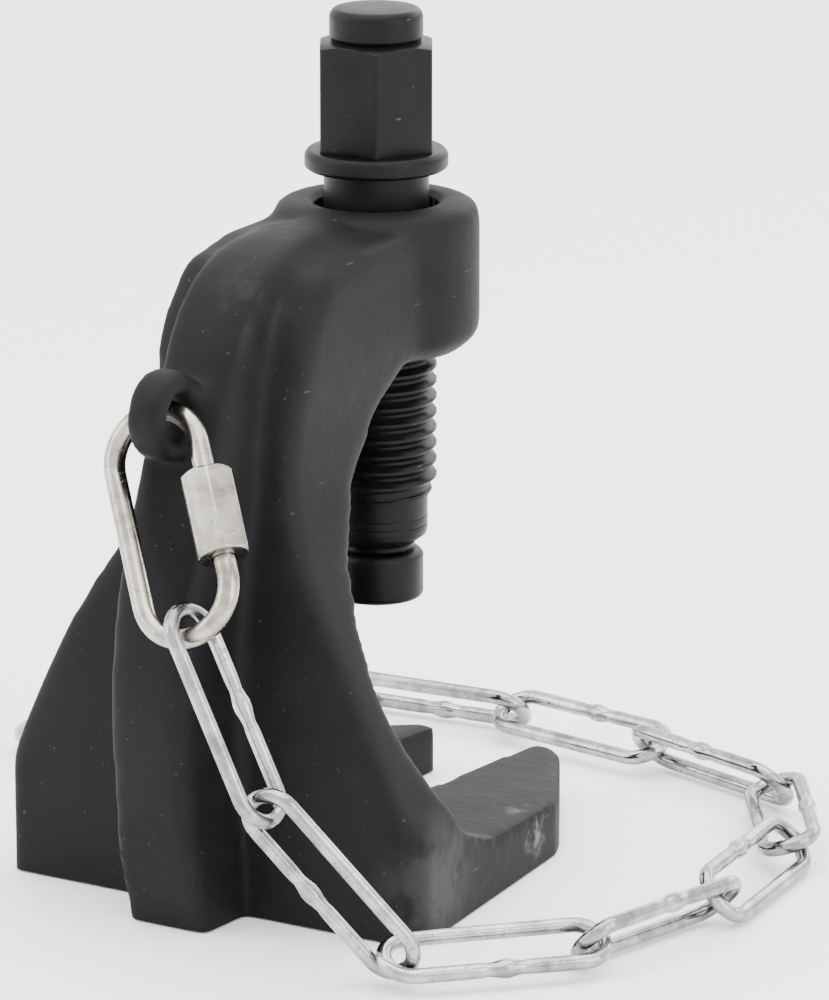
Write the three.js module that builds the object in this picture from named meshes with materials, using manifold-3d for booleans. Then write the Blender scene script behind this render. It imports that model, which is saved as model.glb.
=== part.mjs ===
import * as THREE from 'three';
import { mergeVertices } from 'three/addons/utils/BufferGeometryUtils.js';
import Module from 'manifold-3d';

const wasm = await Module();
wasm.setup();

// All sizes are in millimetres. The parts are drawn with the screw's axis at X = 0, Y = 0, the base
// on Z = 0 and the fork opening towards +Y. The group is then moved so that the origin is in the
// middle of the solid part of the base's underside.

const baseOriginY = -37;

const baseHalfWidth = 48.2;
const baseBackY = -61;
const forkTipY = 41;
const forkTipHeight = 9.5;
const forkRootHeight = 12.4;
const slotRadius = 13;
const slotTipHalfWidth = 11.5;

const bossRadius = 20.5;
const bossBottomZ = 99;
const bossTopZ = 130;
const bossEdge = 2.6;
const boreRadius = 12.4;
const boreChamfer = 1.4;

const spineHalfWidth = 9;
const lugCentreY = -73.4;
const lugCentreZ = 101;
const lugRadius = 9;
const lugHalfThickness = 4.1;
const lugHoleRadius = 4.6;
const lugRise = 3.4;

const threadRadius = 12;
const threadEndZ = 70.5;
const neckRadius = 10.4;
const neckStartZ = 124;
const collarRadius = 14.2;
const collarBottomZ = 135.8;
const collarTopZ = 139.8;
const hexAcrossFlats = 22;
const hexTopZ = 161.4;
const capRadius = 9.25;
const capTopZ = 168;
const shankRadius = 10.15;
const shankEndZ = 60.3;
const stemRadius = 5;
const stemEndZ = 55.1;
const ringGrooveZ = 56.8;
const ringGrooveRadius = 4.2;
const ringGrooveHalf = 0.7;
const noseRadius = 7.7;
const ringOuterRadius = 6.35;
const ringInnerRadius = 4.55;
const padGrooveRadius = 6.7;
const hexTurnDegrees = 32.4;

const padRadius = 9.3;
const padBottomZ = 48.7;
const padTopZ = 58.6;
const socketRadius = 5.35;
const socketFloorZ = 54.8;
const ballRadius = 2;
const ballPocketRadius = 2.35;
const ballPocketFloorZ = 50.8;
const ringThickness = 0.8;
const gap = 0.3;

const chainWireRadius = 1.5;
const chainPitch = 38;
const chainSlack = 2;
const chainHalfWidth = 5.2;
const chainFloorZ = 5.6;

const quickWireRadius = 2.1;
const quickHalfWidth = 9.4;
const quickHalfStraight = 13.6;
const quickNutAcrossFlats = 9.6;
const quickNutLength = 17.5;
const quickNutOffset = -1.5;
const quickGapLow = -9;
const quickGapHigh = -3.4;
const endOverlap = -2.6;

const roundSides = 32;
const wireSides = 8;
const bendSteps = 7;

const steel = (color, roughness, metalness) =>
  new THREE.MeshStandardMaterial({ color, roughness, metalness });
const frameBlack = steel(0x2c2d2e, 0.55, 0.35);
const screwBlack = steel(0x1c1c1d, 0.4, 0.6);
const bareSteel = steel(0x9a9a98, 0.3, 1);
const zincSteel = steel(0xb9b3a8, 0.3, 1);
const chainSteel = steel(0xb4b6b8, 0.25, 1);

// Booleans

function toSolid(geometry) {
  const bare = geometry.clone();
  bare.deleteAttribute('normal');
  bare.deleteAttribute('uv');
  const merged = mergeVertices(bare, 1e-4);
  return new wasm.Manifold(new wasm.Mesh({
    numProp: 3,
    vertProperties: new Float32Array(merged.attributes.position.array),
    triVerts: new Uint32Array(merged.index.array),
  }));
}

function toGeometry(solid) {
  const mesh = solid.getMesh();
  const geometry = new THREE.BufferGeometry();
  geometry.setAttribute('position', new THREE.BufferAttribute(mesh.vertProperties, 3));
  geometry.setIndex(new THREE.BufferAttribute(mesh.triVerts, 1));
  return geometry;
}

// Shapes

const lathe = (profile, sides = roundSides) => {
  const points = profile.map(([radius, height]) => new THREE.Vector2(radius, height));
  return new THREE.LatheGeometry(points, sides).rotateX(Math.PI / 2);
};

function outline(points) {
  return new THREE.Shape(points.map(([a, b]) => new THREE.Vector2(a, b)));
}

// A side profile of (Y, Z) points, extruded across X.
function acrossX(points, halfWidth) {
  const geometry = new THREE.ExtrudeGeometry(outline(points), {
    depth: 2 * halfWidth, bevelEnabled: false, curveSegments: 12,
  });
  geometry.translate(0, 0, -halfWidth);
  const basis = new THREE.Matrix4().makeBasis(
    new THREE.Vector3(0, 1, 0), new THREE.Vector3(0, 0, 1), new THREE.Vector3(1, 0, 0));
  return geometry.applyMatrix4(basis);
}

// A front profile of (X, Z) points, extruded along Y.
function alongY(points, low, high) {
  const geometry = new THREE.ExtrudeGeometry(outline(points), {
    depth: high - low, bevelEnabled: false,
  });
  const basis = new THREE.Matrix4().makeBasis(
    new THREE.Vector3(1, 0, 0), new THREE.Vector3(0, 0, 1), new THREE.Vector3(0, -1, 0));
  return geometry.applyMatrix4(basis).translate(0, high, 0);
}

// A plan of (X, Y) points, extruded up Z.
function upZ(points, low, high) {
  return new THREE.ExtrudeGeometry(outline(points), {
    depth: high - low, bevelEnabled: false,
  }).translate(0, 0, low);
}

const mirrored = (half) =>
  [...half, ...half.map(([a, b]) => [-a, b]).reverse()];

const smooth = (points, count) =>
  new THREE.CatmullRomCurve3(points.map(([a, b]) => new THREE.Vector3(a, b, 0)), false, 'centripetal')
    .getPoints(count)
    .map((point) => [point.x, point.y]);

// Frame: a C-shaped plate that widens into the fork, with a rib behind it

const throatCurve = smooth([
  [-27, forkRootHeight], [-39.5, 17.5], [-48.5, 30], [-53, 44], [-51.5, 53], [-45.5, 65],
  [-37.5, 74], [-31, 83], [-23.5, 92], [-15, bossBottomZ + 1.5],
], 22);
const plateBackCurve = smooth([
  [-44, bossTopZ - 6], [-52, 112], [-55, 98], [-57, 83], [-60.5, 68], [-63, 52], [-63.5, 40],
], 8);
const spineBackCurve = smooth([
  [-74, 0], [-77.5, 8], [-81.5, 28], [-82.6, 45], [-81, 61], [-77, 76], [-70.5, 92],
  [-64.5, 107], [-59.5, 117], [-51, 125], [-38, 128.6], [-20, 128.9],
], 22);

const plateProfile = [
  [-8, bossTopZ - 3], [-30, bossTopZ - 3], ...plateBackCurve,
  [-62.5, 20], [baseBackY, 0], [forkTipY, 0], [forkTipY, forkTipHeight],
  ...throatCurve, [-8, bossBottomZ + 1.5],
];
const plateFront = mirrored([
  [baseHalfWidth - 1.5, -1], [baseHalfWidth, 6], [baseHalfWidth - 0.3, 19], [43, 30.6],
  [37.8, 41.5], [32.4, 52], [26.6, 62], [21, 71], [16.5, 82], [16, 94], [17.5, 108], [17, 130],
]);
const forkPlan = mirrored([
  [0, baseBackY - 4], [20, baseBackY - 4], [baseHalfWidth - 4, baseBackY - 2.5],
  [baseHalfWidth, baseBackY + 4], [39.6, 4], [37.4, 9], [20.6, 37], [16.2, forkTipY], [8, forkTipY],
]);
const spineProfile = [...spineBackCurve, [-20, 100], [-50, 80], [-57, 40], [-56, 0]];
const slotPlan = [
  ...Array.from({ length: 13 }, (_, step) => {
    const angle = Math.PI + (step / 12) * Math.PI;
    return [slotRadius * Math.cos(angle), slotRadius * Math.sin(angle)];
  }),
  [slotTipHalfWidth, forkTipY + 2],
  [-slotTipHalfWidth, forkTipY + 2],
];
const bossProfile = [
  [0, bossBottomZ], [bossRadius - 2 * bossEdge, bossBottomZ], [bossRadius, bossBottomZ + 1.6 * bossEdge],
  [bossRadius, bossTopZ - bossEdge], [bossRadius - bossEdge / 3, bossTopZ - bossEdge / 3],
  [bossRadius - bossEdge, bossTopZ], [0, bossTopZ],
];
const boreProfile = [
  [0, bossBottomZ - 9], [boreRadius + boreChamfer, bossBottomZ - 9],
  [boreRadius + boreChamfer, bossBottomZ], [boreRadius, bossBottomZ + boreChamfer],
  [boreRadius, bossTopZ - boreChamfer], [boreRadius + boreChamfer, bossTopZ],
  [boreRadius + boreChamfer, bossTopZ + 2], [0, bossTopZ + 2],
];

function discAcrossX(radius, halfThickness, sides) {
  return new THREE.CylinderGeometry(radius, radius, 2 * halfThickness, sides)
    .rotateZ(Math.PI / 2)
    .translate(0, lugCentreY, lugCentreZ);
}

function frameGeometry() {
  const plate = toSolid(acrossX(plateProfile, baseHalfWidth + 5))
    .intersect(toSolid(alongY(plateFront, -90, 60)))
    .intersect(toSolid(upZ(forkPlan, -2, 140)));
  const spine = toSolid(acrossX(spineProfile, spineHalfWidth));
  const boss = toSolid(lathe(bossProfile));
  const lug = toSolid(discAcrossX(lugRadius, lugHalfThickness, 28));
  return toGeometry(plate
    .add(spine)
    .add(boss)
    .add(lug)
    .subtract(toSolid(upZ(slotPlan, -2, 60)))
    .subtract(toSolid(lathe(boreProfile)))
    .subtract(toSolid(discAcrossX(lugHoleRadius, 12, 20))));
}

// Pressure screw and its foot

function screwGeometry() {
  const turned = toSolid(lathe([
    [0, stemEndZ], [stemRadius - 0.5, stemEndZ], [stemRadius, stemEndZ + 0.5],
    [stemRadius, ringGrooveZ - ringGrooveHalf], [ringGrooveRadius, ringGrooveZ - ringGrooveHalf],
    [ringGrooveRadius, ringGrooveZ + ringGrooveHalf], [stemRadius, ringGrooveZ + ringGrooveHalf],
    [stemRadius, padTopZ + gap], [noseRadius, padTopZ + gap], [noseRadius, shankEndZ - 0.6],
    [shankRadius, shankEndZ + 1.6], [shankRadius, threadEndZ - 1.4], [threadRadius, threadEndZ],
    [threadRadius, neckStartZ], [neckRadius, neckStartZ + 1.6], [neckRadius, collarBottomZ],
    [collarRadius - 0.6, collarBottomZ], [collarRadius, collarBottomZ + 0.6],
    [collarRadius, collarTopZ - 1], [collarRadius - 1, collarTopZ], [0, collarTopZ],
  ]));
  const hexCorner = hexAcrossFlats / Math.sqrt(3);
  const hexPlan = Array.from({ length: 6 }, (_, side) => {
    const angle = (side / 6) * 2 * Math.PI - Math.PI / 2 + THREE.MathUtils.degToRad(hexTurnDegrees);
    return [hexCorner * Math.cos(angle), hexCorner * Math.sin(angle)];
  });
  const chamferCone = toSolid(lathe([
    [0, collarTopZ - 2], [hexCorner + 1, collarTopZ - 2], [hexCorner + 1, hexTopZ - 1.6],
    [hexAcrossFlats / 2 - 0.6, hexTopZ], [0, hexTopZ],
  ]));
  const hexagon = toSolid(upZ(hexPlan, collarTopZ - 1, hexTopZ)).intersect(chamferCone);
  const cap = toSolid(lathe([
    [0, hexTopZ - 1], [capRadius, hexTopZ - 1], [capRadius, capTopZ - 1.2],
    [capRadius - 1.2, capTopZ], [0, capTopZ],
  ]));
  return toGeometry(turned.add(hexagon).add(cap));
}

const padGeometry = () => lathe([
  [0, padBottomZ], [padRadius - 0.8, padBottomZ], [padRadius, padBottomZ + 0.8],
  [padRadius, padTopZ - 1], [padRadius - 1, padTopZ], [socketRadius, padTopZ],
  [socketRadius, ringGrooveZ + ringGrooveHalf], [padGrooveRadius, ringGrooveZ + ringGrooveHalf],
  [padGrooveRadius, ringGrooveZ - ringGrooveHalf], [socketRadius, ringGrooveZ - ringGrooveHalf],
  [socketRadius, socketFloorZ], [ballPocketRadius, socketFloorZ],
  [ballPocketRadius, ballPocketFloorZ], [0, ballPocketFloorZ],
]);

const ballGeometry = () =>
  new THREE.SphereGeometry(ballRadius, 16, 10).translate(0, 0, ballPocketFloorZ + 0.1 + ballRadius);

function retainingRingGeometry() {
  const split = new THREE.Shape();
  const openHalfAngle = 0.35;
  split.absarc(0, 0, ringOuterRadius, openHalfAngle, 2 * Math.PI - openHalfAngle, false);
  split.absarc(0, 0, ringInnerRadius, 2 * Math.PI - openHalfAngle, openHalfAngle, true);
  return new THREE.ExtrudeGeometry(split, { depth: ringThickness, bevelEnabled: false, curveSegments: 20 })
    .translate(0, 0, ringGrooveZ - ringThickness / 2);
}

// Chain and quick links: a round wire bent in the XZ plane, long axis along Z

function bentWire(points, radius, closed) {
  const rows = points.map((point, index) => {
    const last = points.length - 1;
    const before = points[closed ? (index + last) % points.length : Math.max(index - 1, 0)];
    const after = points[closed ? (index + 1) % points.length : Math.min(index + 1, last)];
    const outward = new THREE.Vector3(after[1] - before[1], 0, before[0] - after[0]).normalize();
    return Array.from({ length: wireSides }, (_, side) => {
      const angle = ((side + 0.5) / wireSides) * 2 * Math.PI;
      return new THREE.Vector3(point[0], 0, point[1])
        .addScaledVector(outward, radius * Math.cos(angle))
        .add(new THREE.Vector3(0, radius * Math.sin(angle), 0));
    });
  });
  const vertices = rows.flat().flatMap((vertex) => vertex.toArray());
  const faces = [];
  const rowPairs = closed ? rows.length : rows.length - 1;
  for (let row = 0; row < rowPairs; row += 1) {
    const next = (row + 1) % rows.length;
    for (let side = 0; side < wireSides; side += 1) {
      const turned = (side + 1) % wireSides;
      const a = row * wireSides + side;
      const b = row * wireSides + turned;
      const c = next * wireSides + turned;
      const d = next * wireSides + side;
      faces.push(a, b, c, a, c, d);
    }
  }
  if (!closed) {
    const end = (rows.length - 1) * wireSides;
    for (let side = 1; side < wireSides - 1; side += 1) {
      faces.push(0, side + 1, side);
      faces.push(end, end + side, end + side + 1);
    }
  }
  const geometry = new THREE.BufferGeometry();
  geometry.setAttribute('position', new THREE.Float32BufferAttribute(vertices, 3));
  geometry.setIndex(faces);
  return geometry;
}

// Bend points, clockwise seen along +Y, starting on the +X leg.
function linkLoop(halfWidth, halfStraight) {
  const points = [];
  for (const end of [-1, 1]) {
    for (let step = 0; step <= bendSteps; step += 1) {
      const angle = (step / bendSteps) * Math.PI;
      points.push([-end * halfWidth * Math.cos(angle), end * (halfStraight + halfWidth * Math.sin(angle))]);
    }
  }
  return points;
}

const chainHalfStraight = (chainPitch + chainSlack) / 2 + chainWireRadius - chainHalfWidth;
const chainLinkGeometry = () =>
  bentWire(linkLoop(chainHalfWidth, chainHalfStraight), chainWireRadius, true);

function quickLinkGeometry() {
  const loop = linkLoop(quickHalfWidth, quickHalfStraight);
  const low = [quickHalfWidth, quickGapLow];
  const high = [quickHalfWidth, quickGapHigh];
  return bentWire([low, ...loop, high], quickWireRadius, false);
}

function quickNutGeometry() {
  const corner = quickNutAcrossFlats / Math.sqrt(3);
  const hexagon = new THREE.Shape(Array.from({ length: 6 }, (_, side) => {
    const angle = (side / 6) * 2 * Math.PI;
    return new THREE.Vector2(corner * Math.cos(angle), corner * Math.sin(angle));
  }));
  const bore = new THREE.Path();
  bore.absarc(0, 0, quickWireRadius + gap, 0, 2 * Math.PI, false);
  hexagon.holes.push(bore);
  return new THREE.ExtrudeGeometry(hexagon, {
    depth: quickNutLength, bevelEnabled: false, curveSegments: 12,
  }).translate(quickHalfWidth, 0, quickNutOffset - quickNutLength / 2);
}

// A placed link: its +Z end at `from`, its -Z end at `to`, turned by `roll` about its length.
function placeLink(from, to, across, roll) {
  const lengthAxis = new THREE.Vector3().subVectors(from, to).normalize();
  const faceAxis = new THREE.Vector3().crossVectors(lengthAxis, across).normalize();
  const widthAxis = new THREE.Vector3().crossVectors(faceAxis, lengthAxis);
  const placed = new THREE.Matrix4().makeBasis(widthAxis, faceAxis, lengthAxis);
  const spun = new THREE.Matrix4().makeRotationZ(THREE.MathUtils.degToRad(roll));
  const centre = new THREE.Vector3().addVectors(from, to).multiplyScalar(0.5);
  return new THREE.Matrix4().makeTranslation(centre).multiply(placed).multiply(spun);
}

const group = new THREE.Group();
group.position.y = -baseOriginY;

function addPart(name, geometry, material, matrix) {
  const mesh = new THREE.Mesh(geometry, material);
  mesh.name = name;
  if (matrix) {
    matrix.decompose(mesh.position, mesh.quaternion, mesh.scale);
  }
  group.add(mesh);
}

addPart('frame', frameGeometry(), frameBlack);
addPart('spindle_screw', screwGeometry(), screwBlack);
addPart('thrust_pad', padGeometry(), screwBlack);
addPart('thrust_ball', ballGeometry(), bareSteel);
addPart('pad_retaining_ring', retainingRingGeometry(), bareSteel);

// The first quick link hangs in the lug hole and leans outwards past the spine.
const quickPitch = 2 * (quickHalfStraight + quickHalfWidth - quickWireRadius);
const lugContact = new THREE.Vector3(0, lugCentreY, lugCentreZ - lugHoleRadius + lugRise);
const quickHang = new THREE.Vector3(0, -17, -36).normalize();
const quickLean = THREE.MathUtils.degToRad(28);
const quickRun = quickHang.clone().multiplyScalar(Math.cos(quickLean));
quickRun.x = Math.sin(quickLean);
const quickTop = lugContact.clone()
  .addScaledVector(quickHang, quickHalfWidth - quickWireRadius)
  .addScaledVector(quickRun, quickWireRadius - quickHalfWidth);
const quickFoot = quickTop.clone().addScaledVector(quickRun, quickPitch);
const sideways = new THREE.Vector3(1, 0, 0);
const quickPlace = placeLink(quickTop, quickFoot, sideways, 0);
addPart('quick_link_body', quickLinkGeometry(), zincSteel, quickPlace);
addPart('quick_link_nut', quickNutGeometry(), zincSteel, quickPlace);

// The first chain link drops from the quick link's bent wire towards `hangAim`.
const hangAim = new THREE.Vector3(55, -97.4, 1.1);
const quickWireCentre = quickFoot.clone().addScaledVector(quickRun, quickWireRadius);
const hangRun = new THREE.Vector3().subVectors(hangAim, quickWireCentre).normalize();
const hangStart = quickWireCentre.clone().addScaledVector(hangRun, -quickWireRadius - chainSlack / 2);
const hangEnd = hangStart.clone().addScaledVector(hangRun, chainPitch);

// The rest runs round the fork on the floor. Each heading is a plan angle in degrees from +X,
// and each roll turns a link about its length.
const floorRuns = [
  { heading: 26, roll: -24 },
  { heading: 48, roll: 66 },
  { heading: 80, roll: -42 },
  { heading: 99, roll: 42 },
  { heading: 124, roll: -72 },
  { heading: 162, roll: 42 },
  { heading: 170, roll: -66 },
  { heading: 184, roll: 48 },
  { heading: 222, roll: -38 },
];
const chainEnds = [hangStart, hangEnd];
for (const run of floorRuns) {
  const start = chainEnds[chainEnds.length - 1];
  const drop = chainFloorZ - start.z;
  const reach = Math.sqrt(chainPitch ** 2 - drop ** 2);
  const angle = THREE.MathUtils.degToRad(run.heading);
  const step = new THREE.Vector3(reach * Math.cos(angle), reach * Math.sin(angle), drop);
  chainEnds.push(new THREE.Vector3().addVectors(start, step));
}
const hangRoll = 81;
const rolls = [hangRoll, ...floorRuns.map((run) => run.roll)];
const upwards = new THREE.Vector3(0, 0, 1);
rolls.forEach((roll, index) => {
  const across = index === 0 ? sideways : upwards;
  const place = placeLink(chainEnds[index], chainEnds[index + 1], across, roll);
  addPart(`chain_link_${String(index + 1).padStart(2, '0')}`, chainLinkGeometry(), chainSteel, place);
});

// The end quick link lies nearly flat, with its nut's side raised and its free end towards the front.
const endRoll = 80;
const endHeading = THREE.MathUtils.degToRad(258);
const endRun = new THREE.Vector3(Math.cos(endHeading), Math.sin(endHeading), 0);
const endWireDrop = new THREE.Vector3(0, 0, -0.6);
const endStart = chainEnds[chainEnds.length - 1].clone()
  .addScaledVector(endRun, endOverlap)
  .add(endWireDrop);
const endFoot = endStart.clone().addScaledVector(endRun, quickPitch);
const endPlace = placeLink(endStart, endFoot, upwards, endRoll);
addPart('end_link_body', quickLinkGeometry(), zincSteel, endPlace);
addPart('end_link_nut', quickNutGeometry(), zincSteel, endPlace);

export default group;
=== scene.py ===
import math
import bmesh
import bpy
import numpy as np
from mathutils import Matrix, Vector


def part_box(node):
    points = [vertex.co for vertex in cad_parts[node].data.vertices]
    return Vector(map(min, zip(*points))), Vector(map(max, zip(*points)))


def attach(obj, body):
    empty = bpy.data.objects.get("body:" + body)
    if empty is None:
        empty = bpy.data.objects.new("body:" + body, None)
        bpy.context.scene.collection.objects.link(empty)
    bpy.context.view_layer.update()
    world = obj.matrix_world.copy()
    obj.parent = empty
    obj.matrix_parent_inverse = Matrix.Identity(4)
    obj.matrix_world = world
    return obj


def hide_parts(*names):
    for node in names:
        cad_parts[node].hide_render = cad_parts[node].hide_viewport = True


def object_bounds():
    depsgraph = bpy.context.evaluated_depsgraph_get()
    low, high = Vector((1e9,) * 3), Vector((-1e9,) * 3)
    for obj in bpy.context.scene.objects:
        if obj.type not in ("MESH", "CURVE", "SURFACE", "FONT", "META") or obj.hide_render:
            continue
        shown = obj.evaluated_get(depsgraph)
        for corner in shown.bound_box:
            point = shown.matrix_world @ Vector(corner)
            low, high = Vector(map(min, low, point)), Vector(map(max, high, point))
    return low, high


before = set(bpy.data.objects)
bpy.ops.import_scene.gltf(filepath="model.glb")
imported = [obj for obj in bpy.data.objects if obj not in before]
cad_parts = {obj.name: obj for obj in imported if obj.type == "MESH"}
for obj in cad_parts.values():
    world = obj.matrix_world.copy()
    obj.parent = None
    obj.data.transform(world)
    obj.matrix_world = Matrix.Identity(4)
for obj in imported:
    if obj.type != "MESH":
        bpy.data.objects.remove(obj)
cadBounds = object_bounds()
print("frame loaded")


# Small helpers for modelling

def nothingSelected():
    if bpy.context.object and bpy.context.object.mode != "OBJECT":
        bpy.ops.object.mode_set(mode="OBJECT")
    bpy.ops.object.select_all(action="DESELECT")


def workOn(piece):
    nothingSelected()
    piece.select_set(True)
    bpy.context.view_layer.objects.active = piece


def fixPlace(piece):
    workOn(piece)
    bpy.ops.object.transform_apply(location=True, rotation=True, scale=True)


def applyModifier(piece, kind, **settings):
    workOn(piece)
    modifier = piece.modifiers.new(kind.title(), kind)
    for name, value in settings.items():
        setattr(modifier, name, value)
    bpy.ops.object.modifier_apply(modifier=modifier.name)


def cutWith(piece, tool, operation="DIFFERENCE"):
    applyModifier(piece, "BOOLEAN", operation=operation, object=tool, solver="EXACT")
    bpy.data.objects.remove(tool, do_unlink=True)


def tidyMesh(piece, distance=1e-6):
    workOn(piece)
    bpy.ops.object.mode_set(mode="EDIT")
    bpy.ops.mesh.select_all(action="SELECT")
    bpy.ops.mesh.remove_doubles(threshold=distance)
    bpy.ops.mesh.normals_make_consistent(inside=False)
    bpy.ops.object.mode_set(mode="OBJECT")


def smoothShade(piece, degrees=35):
    workOn(piece)
    bpy.ops.object.shade_smooth_by_angle(angle=math.radians(degrees))


def coords(piece):
    flat = np.empty(len(piece.data.vertices) * 3)
    piece.data.vertices.foreach_get("co", flat)
    return flat.reshape(-1, 3)


def setCoords(piece, points):
    piece.data.vertices.foreach_set("co", points.astype(np.float32).ravel())
    piece.data.update()


def pieceFromNode(node, name):
    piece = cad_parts[node].copy()
    piece.data = piece.data.copy()
    piece.name = name
    piece.data.name = name
    piece.parent = None
    bpy.context.collection.objects.link(piece)
    piece.matrix_world = Matrix.Identity(4)
    piece.data.materials.clear()
    tidyMesh(piece, 2e-6)
    return piece


def turned(name, profile, sides):
    # a turned piece: a circle extruded and scaled along its profile of radius and height
    nothingSelected()
    bpy.ops.mesh.primitive_circle_add(vertices=sides, radius=profile[0][0], fill_type="NGON",
                                      location=(0, 0, profile[0][1]))
    piece = bpy.context.object
    piece.name = name
    bpy.ops.object.mode_set(mode="EDIT")
    bpy.ops.mesh.select_all(action="SELECT")
    for (radius, height), (nextRadius, nextHeight) in zip(profile, profile[1:]):
        bpy.ops.mesh.extrude_region_move(
            TRANSFORM_OT_translate={"value": (0, 0, nextHeight - height)})
        ratio = nextRadius / radius
        bpy.ops.transform.resize(value=(ratio, ratio, 1), center_override=(0, 0, nextHeight))
    bpy.ops.object.mode_set(mode="OBJECT")
    fixPlace(piece)
    tidyMesh(piece)
    return piece


def filleted(points, radius, steps=3):
    # rounds the corners of a profile of radius and height
    result = [points[0]]
    for before, corner, after in zip(points, points[1:], points[2:]):
        a, b, c = (np.array(point, float) for point in (before, corner, after))
        reach = min(radius, np.linalg.norm(a - b) * 0.45, np.linalg.norm(c - b) * 0.45)
        start = b + (a - b) / np.linalg.norm(a - b) * reach
        end = b + (c - b) / np.linalg.norm(c - b) * reach
        for step in range(steps + 1):
            t = step / steps
            result.append(tuple((1 - t) ** 2 * start + 2 * t * (1 - t) * b + t ** 2 * end))
    result.append(points[-1])
    return result


# Camera, light and floor

view = {
    "azimuth": 32.4, "pitch": 14.6, "distance": 1.382, "lens": 301.4,
    "aimHeight": 0.067, "aimRight": 0.0075, "aimUp": 0.0012,
}
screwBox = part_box("spindle_screw")
screwX = (screwBox[0][0] + screwBox[1][0]) / 2
screwY = (screwBox[0][1] + screwBox[1][1]) / 2


def makeCamera():
    azimuth = math.radians(view["azimuth"])
    pitch = math.radians(view["pitch"])
    back = Vector((math.sin(azimuth) * math.cos(pitch), -math.cos(azimuth) * math.cos(pitch),
                   math.sin(pitch)))
    right = Vector((math.cos(azimuth), math.sin(azimuth), 0))
    aim = Vector((screwX, screwY, view["aimHeight"])) + right * view["aimRight"]
    aim += back.cross(right) * view["aimUp"]
    data = bpy.data.cameras.new("camera")
    data.sensor_fit = "HORIZONTAL"
    data.lens = view["lens"]
    data.clip_start = 0.05
    camera = bpy.data.objects.new("camera", data)
    bpy.context.collection.objects.link(camera)
    camera.location = aim + back * view["distance"]
    camera.rotation_euler = (math.pi / 2 - pitch, 0, azimuth)
    bpy.context.scene.camera = camera


def areaLight(name, place, size, power):
    nothingSelected()
    bpy.ops.object.light_add(type="AREA", location=place)
    light = bpy.context.object
    light.name = name
    light.data.shape = "RECTANGLE"
    light.data.size = size[0]
    light.data.size_y = size[1]
    light.data.energy = power
    towards = Vector((0, 0, 0.05)) - Vector(place)
    light.rotation_euler = towards.to_track_quat("-Z", "Y").to_euler()


lights = {
    "overhead": ((0.0, 0.0, 1.2), (1.4, 1.4), 22),
    "leftSoftbox": ((-1.1, -0.7, 0.7), (0.9, 1.1), 9),
    "rightSoftbox": ((1.2, -0.1, 0.55), (0.8, 1.0), 9),
    "backStrip": ((0.1, 1.3, 0.7), (1.6, 0.5), 8),
}


def makeStudio():
    for name, (place, size, power) in lights.items():
        areaLight(name, place, size, power)
    world = bpy.context.scene.world or bpy.data.worlds.new("world")
    bpy.context.scene.world = world
    world.use_nodes = True
    background = world.node_tree.nodes["Background"]
    background.inputs["Color"].default_value = (1, 1, 1, 1)
    background.inputs["Strength"].default_value = 2.6
    nothingSelected()
    bpy.ops.mesh.primitive_plane_add(size=12, location=(0, 0, cadBounds[0][2] - 0.0004))
    floor = bpy.context.object
    floor.name = "floor"
    fixPlace(floor)
    material = bpy.data.materials.new("paleFloor")
    material.use_nodes = True
    shader = material.node_tree.nodes["Principled BSDF"]
    shader.inputs["Base Color"].default_value = (0.96, 0.96, 0.96, 1)
    shader.inputs["Roughness"].default_value = 0.6
    floor.data.materials.append(material)


makeCamera()
makeStudio()
print("camera and studio made")


# Materials

class Socket:
    # a shader value; arithmetic on it adds Math nodes
    def __init__(self, tree, output):
        self.tree = tree
        self.output = output

    def node(self, kind, settings=None, **values):
        made = self.tree.nodes.new(kind)
        for name, value in (settings or {}).items():
            if name == "stops":
                for index, (place, colour) in enumerate(value):
                    stops = made.color_ramp.elements
                    stop = stops[index] if index < len(stops) else stops.new(place)
                    stop.position = place
                    stop.color = (*colour, 1) if len(colour) == 3 else colour
            else:
                setattr(made, name, value)
        for name, value in values.items():
            key = int(name[1:]) if name[1:].isdigit() else name.replace("_", " ")
            socket = made.inputs[key]
            if isinstance(value, Socket):
                self.tree.links.new(value.output, socket)
            else:
                socket.default_value = value
        return made

    def out(self, made, name=0):
        return Socket(self.tree, made.outputs[name])

    def maths(self, operation, first, second):
        made = self.node("ShaderNodeMath", {"operation": operation}, i0=first, i1=second)
        return self.out(made)

    def __add__(self, other):
        return self.maths("ADD", self, other)

    def __radd__(self, other):
        return self.maths("ADD", other, self)

    def __sub__(self, other):
        return self.maths("SUBTRACT", self, other)

    def __rsub__(self, other):
        return self.maths("SUBTRACT", other, self)

    def __mul__(self, other):
        return self.maths("MULTIPLY", self, other)

    def __lt__(self, other):
        return self.maths("LESS_THAN", self, other)


def newMaterial(name):
    material = bpy.data.materials.new(name)
    material.use_nodes = True
    tree = material.node_tree
    place = Socket(tree, tree.nodes.new("ShaderNodeTexCoord").outputs["Object"])
    return material, tree.nodes["Principled BSDF"], place


def link(place, value, socket):
    place.tree.links.new(value.output, socket)


def noise(place, scale, detail=4.0, roughness=0.55, vector=None):
    made = place.node("ShaderNodeTexNoise", None, Vector=vector or place, Scale=scale,
                      Detail=detail, Roughness=roughness)
    return place.out(made, "Fac")


def cellDistance(place, scale):
    made = place.node("ShaderNodeTexVoronoi", {"feature": "F1"}, Vector=place, Scale=scale)
    return place.out(made, "Distance")


def ramp(place, value, low, high):
    made = place.node("ShaderNodeMapRange", {"clamp": True}, Value=value, i1=low, i2=high)
    return place.out(made, "Result")


def mixColour(place, factor, first, second):
    made = place.node("ShaderNodeMix", {"data_type": "RGBA"}, i0=factor, i6=first, i7=second)
    return Socket(place.tree, made.outputs[2])


def stretched(place, scale):
    made = place.node("ShaderNodeMapping", None, Vector=place, Scale=scale)
    return place.out(made, "Vector")


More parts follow.
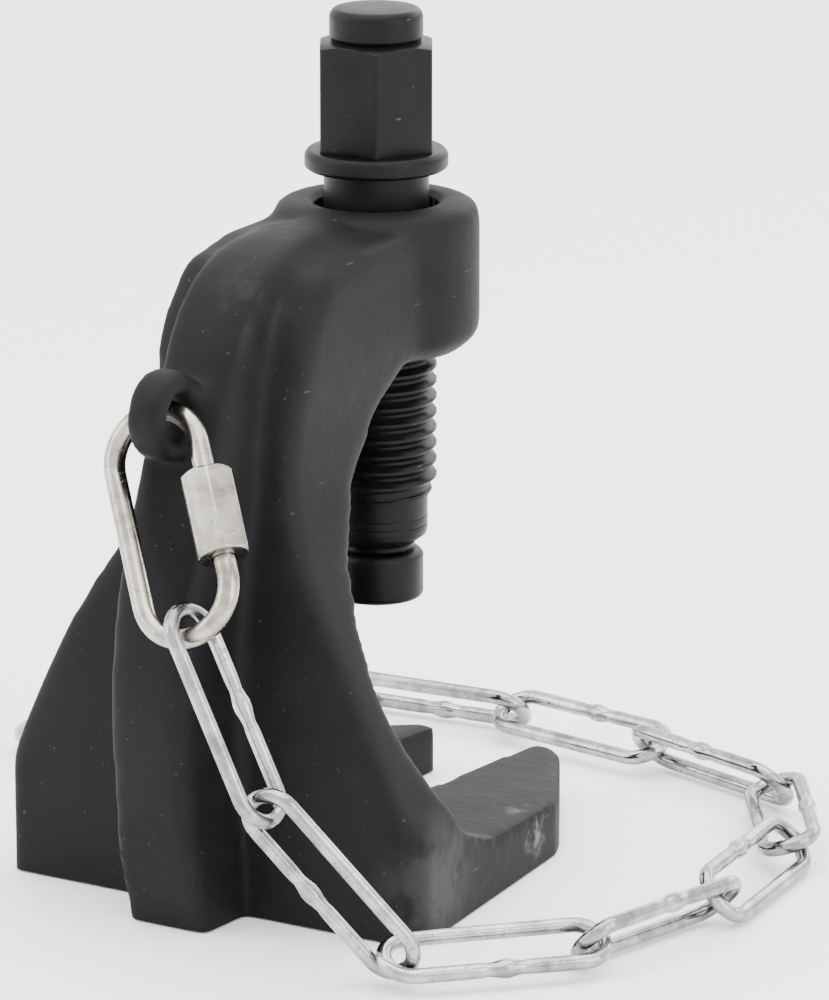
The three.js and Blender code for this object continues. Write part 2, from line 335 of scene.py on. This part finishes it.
def scratches(place, scale, angle, least):
    # plain straight marks: stretched spots, kept only where the noise is high
    turn = place.node("ShaderNodeMapping", None, Vector=place, Rotation=angle,
                      Scale=(scale, scale * 0.07, scale))
    spots = noise(place, 1.0, 0.0, 0.4, place.out(turn, "Vector"))
    return ramp(place, spots, least, least + 0.02)


def patchAt(place, centre, radius):
    # 1 in the middle of a ball of this radius and 0 outside it
    offset = place.node("ShaderNodeVectorMath", {"operation": "DISTANCE"}, i0=place, i1=centre)
    return 1 - ramp(place, place.out(offset, "Value"), radius * 0.35, radius)


def bump(place, height, strength, distance, before=None):
    values = {"Strength": strength, "Distance": distance, "Height": height}
    if before:
        values["Normal"] = before
    return place.out(place.node("ShaderNodeBump", None, **values), "Normal")


# centres of real wear (the smear and the polished scuff) and of a painted highlight on the lit prong top
wearAndLitSpots = {
    "smear": (0.0475, -0.013, 0.011), "smearRadius": 0.016,
    "scuff": (0.008, -0.0193, 0.1215), "scuffRadius": 0.012,
    "litProngTop": (0.0396, 0.031, 0.008), "litProngTopRadius": 0.007,
}


def frameBlackMaterial():
    material, shader, place = newMaterial("forgedBlack")
    broad = noise(place, 22.0, 3.0)
    mottled = noise(place, 140.0, 5.0, 0.6)
    grain = noise(place, 1500.0, 3.0, 0.6)
    pits = cellDistance(place, 420.0)
    cells = cellDistance(place, 150.0)
    flecks = (cells < 0.035) * ramp(place, mottled, 0.55, 0.6)
    marks = scratches(place, 1300.0, (0.3, 0.5, 0.9), 0.845)
    marksAcross = scratches(place, 1000.0, (1.1, 0.2, 2.1), 0.85)
    smear = patchAt(place, wearAndLitSpots["smear"], wearAndLitSpots["smearRadius"]) * ramp(place, mottled + broad * 0.4, 0.6, 0.78)
    # painted highlight: a light grey patch on the prong top, standing in for the light that falls on it
    paintedProngHighlight = patchAt(place, wearAndLitSpots["litProngTop"], wearAndLitSpots["litProngTopRadius"]) * ramp(place, mottled, 0.5, 0.6)
    polished = patchAt(place, wearAndLitSpots["scuff"], wearAndLitSpots["scuffRadius"]) * ramp(place, mottled, 0.46, 0.56)
    colour = mixColour(place, ramp(place, broad * 0.5 + mottled * 0.5, 0.35, 0.65),
                       (0.0026, 0.0028, 0.0032, 1), (0.0056, 0.0058, 0.0064, 1))
    colour = mixColour(place, smear * 0.7, colour, (0.04, 0.04, 0.042, 1))
    colour = mixColour(place, marks * 0.4 + marksAcross * 0.4, colour, (0.06, 0.06, 0.059, 1))
    # light grey for the real flecks over the whole forging and for the painted highlight on the prong top
    colour = mixColour(place, paintedProngHighlight * 0.5 + flecks * 0.6, colour, (0.22, 0.22, 0.215, 1))
    link(place, colour, shader.inputs["Base Color"])
    link(place, 0.52 + mottled * 0.16 - polished * 0.34, shader.inputs["Roughness"])
    shader.inputs["Specular IOR Level"].default_value = 0.12
    rough = bump(place, mottled + pits * 0.35, 0.4, 0.0003)
    fine = bump(place, grain, 0.35, 0.00006, rough)
    link(place, fine, shader.inputs["Normal"])
    return material


def screwBlackMaterial():
    material, shader, place = newMaterial("blackOxide")
    rings = noise(place, 1.0, 3.0, 0.6, stretched(place, (14.0, 14.0, 2600.0)))
    mottled = noise(place, 180.0, 4.0)
    marks = scratches(place, 1300.0, (0.9, 0.1, 0.4), 0.84)
    colour = mixColour(place, ramp(place, mottled, 0.35, 0.65), (0.0018, 0.0018, 0.002, 1),
                       (0.0036, 0.0037, 0.004, 1))
    colour = mixColour(place, marks * 0.4, colour, (0.1, 0.1, 0.098, 1))
    link(place, colour, shader.inputs["Base Color"])
    link(place, 0.27 + mottled * 0.18 + rings * 0.08, shader.inputs["Roughness"])
    shader.inputs["Specular IOR Level"].default_value = 0.12
    link(place, bump(place, rings * 0.6 + mottled * 0.4, 0.25, 0.00006), shader.inputs["Normal"])
    return material


def brightMaterial(name, low, high, roughness):
    material, shader, place = newMaterial(name)
    mottled = noise(place, 240.0, 4.0)
    drawn = noise(place, 900.0, 4.0, 0.7)
    cloudy = noise(place, 45.0, 2.0)
    marks = scratches(place, 1600.0, (0.4, 1.2, 0.3), 0.74)
    colour = mixColour(place, ramp(place, mottled * 0.6 + cloudy * 0.4, 0.36, 0.64), low, high)
    colour = mixColour(place, marks * 0.6, colour, (0.12, 0.12, 0.12, 1))
    link(place, colour, shader.inputs["Base Color"])
    link(place, roughness + drawn * 0.12 + marks * 0.15, shader.inputs["Roughness"])
    shader.inputs["Metallic"].default_value = 1.0
    link(place, bump(place, drawn * 0.5 + mottled, 0.25, 0.00008), shader.inputs["Normal"])
    return material


materials = {
    "frame_black": frameBlackMaterial(),
    "screw_black": screwBlackMaterial(),
    "bare_steel": brightMaterial("groundSteel", (0.32, 0.32, 0.31, 1), (0.5, 0.5, 0.49, 1), 0.24),
    "zinc_steel": brightMaterial("zincPlate", (0.2, 0.183, 0.155, 1), (0.5, 0.47, 0.42, 1), 0.15),
    "chain_steel": brightMaterial("chainSteel", (0.16, 0.16, 0.16, 1), (0.47, 0.47, 0.475, 1), 0.1),
}
print("materials made")


def finishPiece(piece, slot, body, *nodes, degrees=35):
    piece.data.materials.clear()
    piece.data.materials.append(materials[slot])
    smoothShade(piece, degrees)
    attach(piece, body)
    if nodes:
        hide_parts(*nodes)


# Forged frame

forging = {
    "depth": 7, "boreRadius": 0.0124, "mouthRadius": 0.0138, "mouthDepth": 0.0014, "bossHeight": 0.031,
    "plugRadius": 0.0165, "plugShort": 0.002, "sink": 0.0008, "underDrop": 0.006, "overlap": 0.0006,
    "evenSteps": 16, "armSteps": 26, "factor": 0.6,
}
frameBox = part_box("frame")


def cylinderBetween(radius, low, high, topRadius=None):
    nothingSelected()
    bpy.ops.mesh.primitive_cone_add(vertices=96, radius1=radius, radius2=topRadius or radius,
                                    depth=high - low, location=(screwX, screwY, (low + high) / 2))
    tool = bpy.context.object
    fixPlace(tool)
    return tool


def blend(value, low, high):
    # 0 below low, 1 above high, eased between them
    t = np.clip((value - low) / (high - low), 0, 1)
    return t * t * (3 - 2 * t)


def smoothWhere(body, weight, factor, iterations):
    group = body.vertex_groups.new(name="soften")
    for step in range(1, 21):
        chosen = np.nonzero(np.round(weight * 20) == step)[0]
        if len(chosen):
            group.add(chosen.tolist(), step / 20, "REPLACE")
    applyModifier(body, "SMOOTH", factor=factor, iterations=iterations, vertex_group="soften")
    body.vertex_groups.remove(body.vertex_groups["soften"])


def lowerBottom(body, drop):
    points = coords(body)
    points[points[:, 2] < 0.0002, 2] -= drop
    setCoords(body, points)


def makeFrame():
    body = pieceFromNode("frame", "forgedFrame")
    topZ = frameBox[1][2]
    # the bore is filled and the underside lowered, so that the forging is rounded before it is machined
    plug = cylinderBetween(forging["plugRadius"], topZ - forging["bossHeight"] + forging["plugShort"],
                           topZ - forging["sink"])
    cutWith(body, plug, "UNION")
    lowerBottom(body, forging["underDrop"])
    applyModifier(body, "REMESH", mode="SHARP", octree_depth=forging["depth"], scale=0.92, sharpness=1.0,
                  use_remove_disconnected=True)
    points = coords(body)
    height = points[:, 2]
    ahead = points[:, 1] - screwY
    arm = blend(height, 0.012, 0.034)
    smoothWhere(body, 0.55 + 0.45 * arm, forging["factor"], forging["evenSteps"])
    lug = (ahead < -0.0712) & (abs(height - 0.101) < 0.0115)
    boss = blend(ahead, -0.036, -0.014) * blend(height, 0.095, 0.1)
    wide = np.abs(points[:, 0] - screwX)
    spine = 1 - blend(wide, 0.017, 0.026)
    weight = arm * (0.4 + 0.6 * spine) * (1 - 0.8 * boss)
    weight = np.where(lug, 0.1, np.clip(weight, 0.02, 1))
    smoothWhere(body, weight, forging["factor"], forging["armSteps"])
    print("forging softened", len(body.data.vertices))
    cutFlat(body)
    machineFrame(body, topZ)
    return body


def cutFlat(body):
    workOn(body)
    bpy.ops.object.mode_set(mode="EDIT")
    bpy.ops.mesh.select_all(action="SELECT")
    bpy.ops.mesh.bisect(plane_co=(0, 0, 0), plane_no=(0, 0, 1), use_fill=True, clear_inner=True)
    bpy.ops.object.mode_set(mode="OBJECT")


def machineFrame(body, topZ):
    bossLow = topZ - forging["bossHeight"]
    cutWith(body, cylinderBetween(forging["boreRadius"], bossLow - 0.01, topZ + 0.01))
    mouth = forging["mouthRadius"]
    bore = forging["boreRadius"]
    depth = forging["mouthDepth"]
    wide = mouth + forging["overlap"]
    narrow = bore - 0.0002
    upper = cylinderBetween(narrow, topZ - depth - 0.0002, topZ + forging["overlap"], topRadius=wide)
    lower = cylinderBetween(wide, bossLow - forging["overlap"], bossLow + depth, topRadius=narrow)
    cutWith(body, upper)
    cutWith(body, lower)


forgedFrame = makeFrame()
finishPiece(forgedFrame, "frame_black", "frame", "frame", degrees=40)
print("frame made", len(forgedFrame.data.polygons))


# Pressure screw

screw = {
    "sides": 96, "pitch": 0.0032, "crest": 0.012, "root": 0.0104, "threadLow": 0.0703,
    "threadHigh": 0.1245, "ringsPerPitch": 12, "halfFlats": 0.011, "hexHeight": 0.0222,
    "hexMiddle": 0.1503,
}


def threadShape(turns):
    # rounded crests and roots: 0 at the root, 1 at the crest
    phase = (turns % 1.0) * 2 * math.pi
    wave = np.cos(phase)
    return 0.5 + 0.5 * np.sign(wave) * np.abs(wave) ** 0.6


def makeThread():
    low, high = screw["threadLow"], screw["threadHigh"]
    nothingSelected()
    bpy.ops.mesh.primitive_cylinder_add(vertices=screw["sides"], radius=screw["crest"], depth=high - low,
                                        location=(0, 0, (low + high) / 2))
    thread = bpy.context.object
    fixPlace(thread)
    rings = int((high - low) / screw["pitch"] * screw["ringsPerPitch"])
    workOn(thread)
    bpy.ops.object.mode_set(mode="EDIT")
    mesh = bmesh.from_edit_mesh(thread.data)
    for edge in mesh.edges:
        edge.select = abs(edge.verts[0].co.z - edge.verts[1].co.z) > 0.001
    bmesh.update_edit_mesh(thread.data)
    bpy.ops.mesh.select_mode(type="EDGE")
    bpy.ops.mesh.subdivide(number_cuts=rings)
    bpy.ops.object.mode_set(mode="OBJECT")
    points = coords(thread)
    radius = np.hypot(points[:, 0], points[:, 1])
    angle = np.arctan2(points[:, 1], points[:, 0])
    shape = threadShape(points[:, 2] / screw["pitch"] - angle / (2 * math.pi))
    runOut = np.clip((points[:, 2] - low) / 0.0028, 0, 1)
    fade = np.clip((high - points[:, 2]) / 0.002, 0, 1)
    depth = (screw["crest"] - screw["root"]) * (1 - shape) * fade
    target = screw["crest"] - depth - 0.0012 * (1 - runOut)
    scale = np.where(radius > 0.001, target / np.maximum(radius, 1e-6), 1)
    points[:, 0] *= scale
    points[:, 1] *= scale
    setCoords(thread, points)
    return thread


def makeScrew():
    shank = turned("shank", filleted([
        (0.0042, 0.0551), (0.005, 0.0556), (0.005, 0.0561), (0.0042, 0.0562), (0.0042, 0.0574),
        (0.005, 0.0575), (0.005, 0.059), (0.0076, 0.0591), (0.0076, 0.0601), (0.0099, 0.0619),
        (0.01015, 0.0631), (0.01015, 0.0639), (0.01, 0.0641), (0.01015, 0.0643), (0.01015, 0.0656),
        (0.01, 0.0658), (0.01015, 0.066), (0.01015, 0.069), (0.0104, 0.0709), (0.0104, 0.0727),
    ], 0.0002, 2), 96)
    head = turned("head", filleted([
        (0.0112, 0.1225), (0.0112, 0.1235), (0.0104, 0.1242), (0.0104, 0.1355), (0.0108, 0.1358),
        (0.0135, 0.1358), (0.0142, 0.1364), (0.0142, 0.1388), (0.0134, 0.1398), (0.006, 0.1399),
    ], 0.0005, 3), 128)
    hexagon = makeHexagon()
    cap = turned("cap", filleted([
        (0.0088, 0.1603), (0.0088, 0.1616), (0.00925, 0.1621), (0.00925, 0.1666), (0.0083, 0.1678),
        (0.004, 0.168),
    ], 0.0011, 5), 96)
    thread = makeThread()
    nothingSelected()
    for piece in (shank, head, hexagon, cap, thread):
        piece.select_set(True)
    bpy.context.view_layer.objects.active = thread
    bpy.ops.object.join()
    thread.name = "pressureScrew"
    thread.location = (screwX, screwY, 0)
    fixPlace(thread)
    return thread


def makeHexagon():
    nothingSelected()
    corner = screw["halfFlats"] / math.cos(math.pi / 6)
    bpy.ops.mesh.primitive_cylinder_add(vertices=6, radius=corner, depth=screw["hexHeight"],
                                        location=(0, 0, screw["hexMiddle"]),
                                        rotation=(0, 0, math.radians(view["azimuth"])))
    hexagon = bpy.context.object
    fixPlace(hexagon)
    applyModifier(hexagon, "BEVEL", width=0.0005, segments=3, limit_method="ANGLE")
    # the curved chamfers of a turned hexagon
    dome = turned("dome", [
        (0.011, 0.1385), (0.0141, 0.1388), (0.0141, 0.1594), (0.0132, 0.1601), (0.0115, 0.161),
        (0.0105, 0.1613), (0.002, 0.1614),
    ], 128)
    cutWith(hexagon, dome, "INTERSECT")
    return hexagon


pressureScrew = makeScrew()
finishPiece(pressureScrew, "screw_black", "spindle", "spindle_screw", degrees=32)
print("screw made")


def makeThrustPad():
    pad = turned("thrustPad", filleted([
        (0.0004, 0.0481), (0.0007, 0.0482), (0.0008, 0.0487), (0.0084, 0.0487), (0.0093, 0.0495),
        (0.0093, 0.0576), (0.0083, 0.0586), (0.0054, 0.0586), (0.0053, 0.0575), (0.0066, 0.0574),
        (0.0066, 0.0562), (0.0053, 0.0561), (0.0053, 0.0548), (0.0024, 0.0547), (0.0023, 0.0509),
        (0.0006, 0.0508),
    ], 0.0005, 3), 96)
    pad.location = (screwX, screwY, 0)
    fixPlace(pad)
    return pad


thrustPad = makeThrustPad()
finishPiece(thrustPad, "screw_black", "pressure_piece", "thrust_pad")
for hiddenNode in ("thrust_ball", "pad_retaining_ring"):
    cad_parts[hiddenNode].data.materials.clear()
    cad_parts[hiddenNode].data.materials.append(materials["bare_steel"])


# Chain links and quick links

def nodeAxes(node):
    # a link's centre and its width, thickness and length directions, read from its solid
    points = coords(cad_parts[node])
    centre = points.mean(axis=0)
    values, vectors = np.linalg.eigh(np.cov((points - centre).T))
    thin, wide, long = vectors[:, 0], vectors[:, 1], vectors[:, 2]
    for axis in (wide, long):
        along = (points - centre) @ axis
        centre = centre + axis * (along.max() + along.min()) / 2
    if long[2] < -0.2 or (abs(long[2]) <= 0.2 and long[0] < 0):
        long = -long
    return centre, wide, np.cross(long, wide), long


def placeOnNode(piece, centre, wide, thin, long):
    turn = np.eye(4)
    turn[:3, 0], turn[:3, 1], turn[:3, 2], turn[:3, 3] = wide, thin, long, centre
    points = coords(piece)
    setCoords(piece, points @ turn[:3, :3].T + centre)


def bentWire(name, radius, halfWidth, halfStraight, sides, bendSteps, gap=None):
    # a ring of wire: section circle spun round one bend, drawn up the leg, spun again, drawn back
    nothingSelected()
    startZ = gap[1] if gap else halfStraight
    bpy.ops.mesh.primitive_circle_add(vertices=sides, radius=radius, fill_type="NGON" if gap else "NOTHING",
                                      location=(halfWidth, 0, startZ))
    wire = bpy.context.object
    wire.name = name
    fixPlace(wire)
    workOn(wire)
    bpy.ops.object.mode_set(mode="EDIT")
    bpy.ops.mesh.select_all(action="SELECT")

    def draw(length, steps):
        for _ in range(steps):
            bpy.ops.mesh.extrude_region_move(TRANSFORM_OT_translate={"value": (0, 0, length / steps)})

    def bend(height, sign):
        bpy.ops.mesh.spin(steps=bendSteps, angle=sign * math.pi, center=(0, 0, height), axis=(0, 1, 0))

    if gap:
        draw(halfStraight - gap[1], 8)
    bend(halfStraight, 1)
    draw(-2 * halfStraight, 24)
    bend(-halfStraight, 1)
    draw((gap[0] if gap else halfStraight) + halfStraight, 8 if gap else 24)
    bpy.ops.object.mode_set(mode="OBJECT")
    tidyMesh(wire, 1e-5)
    return wire


chain = {
    "radius": 0.0015, "halfWidth": 0.0052, "halfStraight": 0.0163, "weldSpan": 0.0016,
    "weldRise": 0.00042, "weldOffset": 0.0008,
}
quick = {
    "radius": 0.0021, "halfWidth": 0.0094, "halfStraight": 0.0136, "gapLow": -0.009, "gapHigh": -0.0034,
    "nutLength": 0.0175, "nutHalfFlats": 0.0048, "nutBore": 0.0024,
}


def addWeld(link, side, offset):
    # the weld upset in the middle of one leg, with two pinched shoulders
    points = coords(link)
    leg = np.array([side * chain["halfWidth"], 0, 0])
    onLeg = np.abs(points[:, 0] - leg[0]) < chain["radius"] * 1.4
    along = (points[:, 2] - offset) / chain["weldSpan"]
    rise = chain["weldRise"] * (np.exp(-along ** 2) - 0.45 * np.exp(-(np.abs(along) - 2.1) ** 2 * 2))
    outward = points - leg
    outward[:, 2] = 0
    length = np.linalg.norm(outward, axis=1, keepdims=True)
    points = points + np.where(onLeg[:, None], outward / np.maximum(length, 1e-6) * rise[:, None], 0)
    setCoords(link, points)


def makeChain():
    pattern = bentWire("chainPattern", chain["radius"], chain["halfWidth"], chain["halfStraight"], 20, 16)
    addWeld(pattern, 1, chain["weldOffset"])
    for number in range(1, 11):
        node = f"chain_link_{number:02d}"
        ring = pattern.copy()
        ring.data = pattern.data.copy()
        ring.name = f"chainLink{number:02d}"
        bpy.context.collection.objects.link(ring)
        centre, wide, thin, long = nodeAxes(node)
        if number % 2:
            wide, thin = -wide, -thin
        placeOnNode(ring, centre, wide, thin, long)
        finishPiece(ring, "chain_steel", node, node, degrees=60)
    bpy.data.objects.remove(pattern, do_unlink=True)


def makeQuickLink(prefix, bodyNode, nutNode, linkBody, nutBody):
    centre, wide, thin, long = nodeAxes(bodyNode)
    nutPoints = coords(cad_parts[nutNode])
    nutCentre = (nutPoints.min(axis=0) + nutPoints.max(axis=0)) / 2
    if (nutCentre - centre) @ wide < 0:
        wide, thin = -wide, -thin
    if (nutCentre - centre) @ long > 0:
        long, thin = -long, -thin
    wire = bentWire(f"{prefix}Body", quick["radius"], quick["halfWidth"], quick["halfStraight"], 28, 24,
                    gap=(quick["gapLow"], quick["gapHigh"]))
    placeOnNode(wire, centre, wide, thin, long)
    finishPiece(wire, "zinc_steel", linkBody, bodyNode, degrees=60)
    nut = makeQuickNut(f"{prefix}Nut")
    placeOnNode(nut, nutCentre, wide, thin, long)
    finishPiece(nut, "zinc_steel", nutBody, nutNode, degrees=28)


def makeQuickNut(name):
    nothingSelected()
    length = quick["nutLength"]
    corner = quick["nutHalfFlats"] / math.cos(math.pi / 6)
    bpy.ops.mesh.primitive_cylinder_add(vertices=6, radius=corner, depth=length,
                                        rotation=(0, 0, math.pi / 6))
    nut = bpy.context.object
    nut.name = name
    fixPlace(nut)
    applyModifier(nut, "BEVEL", width=0.00025, segments=3, limit_method="ANGLE")
    half = length / 2
    dome = turned("nutDome", [
        (0.0039, -half), (0.0047, -half + 0.0002), (0.0053, -half + 0.0009), (0.00575, -half + 0.0018),
        (0.00575, half - 0.0018), (0.0053, half - 0.0009), (0.0047, half - 0.0002), (0.0039, half),
    ], 72)
    cutWith(nut, dome, "INTERSECT")
    nothingSelected()
    bpy.ops.mesh.primitive_cylinder_add(vertices=48, radius=quick["nutBore"], depth=0.03)
    cutWith(nut, bpy.context.object)
    return nut


makeChain()
makeQuickLink("quickLink", "quick_link_body", "quick_link_nut", "quick_link", "quick_nut")
makeQuickLink("endLink", "end_link_body", "end_link_nut", "end_link", "end_nut")
print("chain and quick links made")
